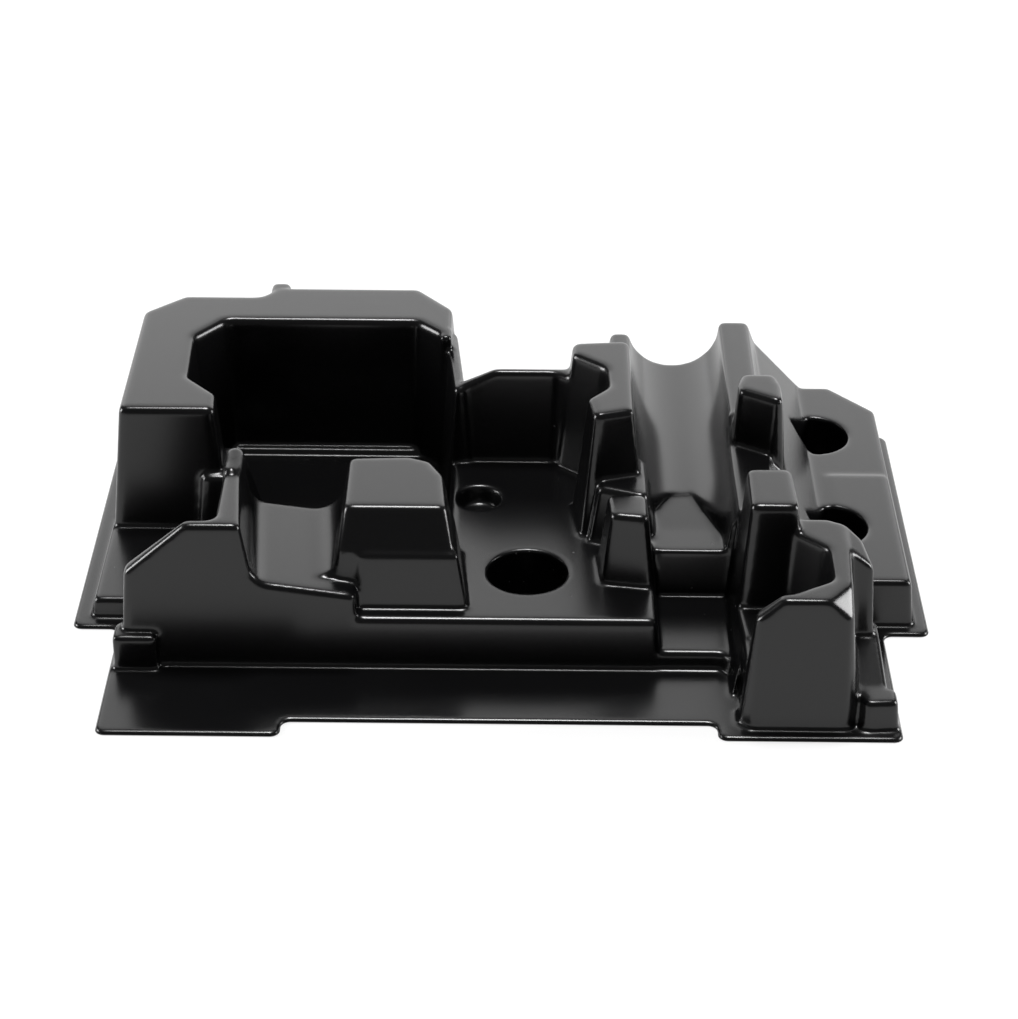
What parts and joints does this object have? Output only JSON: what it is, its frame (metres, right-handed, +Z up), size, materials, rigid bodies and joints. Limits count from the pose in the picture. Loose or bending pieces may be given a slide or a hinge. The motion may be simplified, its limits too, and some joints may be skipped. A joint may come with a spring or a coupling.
{
  "type": "formed insert tray",
  "caption": "Formed plastic insert tray for a power tool case, with a flat flange, a bay, a round channel, a saddle, pillars and finger holes drawn from one sheet.",
  "frame": {"origin": "middle of the underside of the flange, on the table", "axes": "+X along the long side to the right, +Y from the front edge to the back, +Z up"},
  "size_m": [0.37, 0.286, 0.082],
  "materials": {
    "black_plastic": "semi-gloss black formed sheet with a faint grain"
  },
  "bodies": {
    "root": {"tray": "black_plastic"}
  },
  "joints": []
}
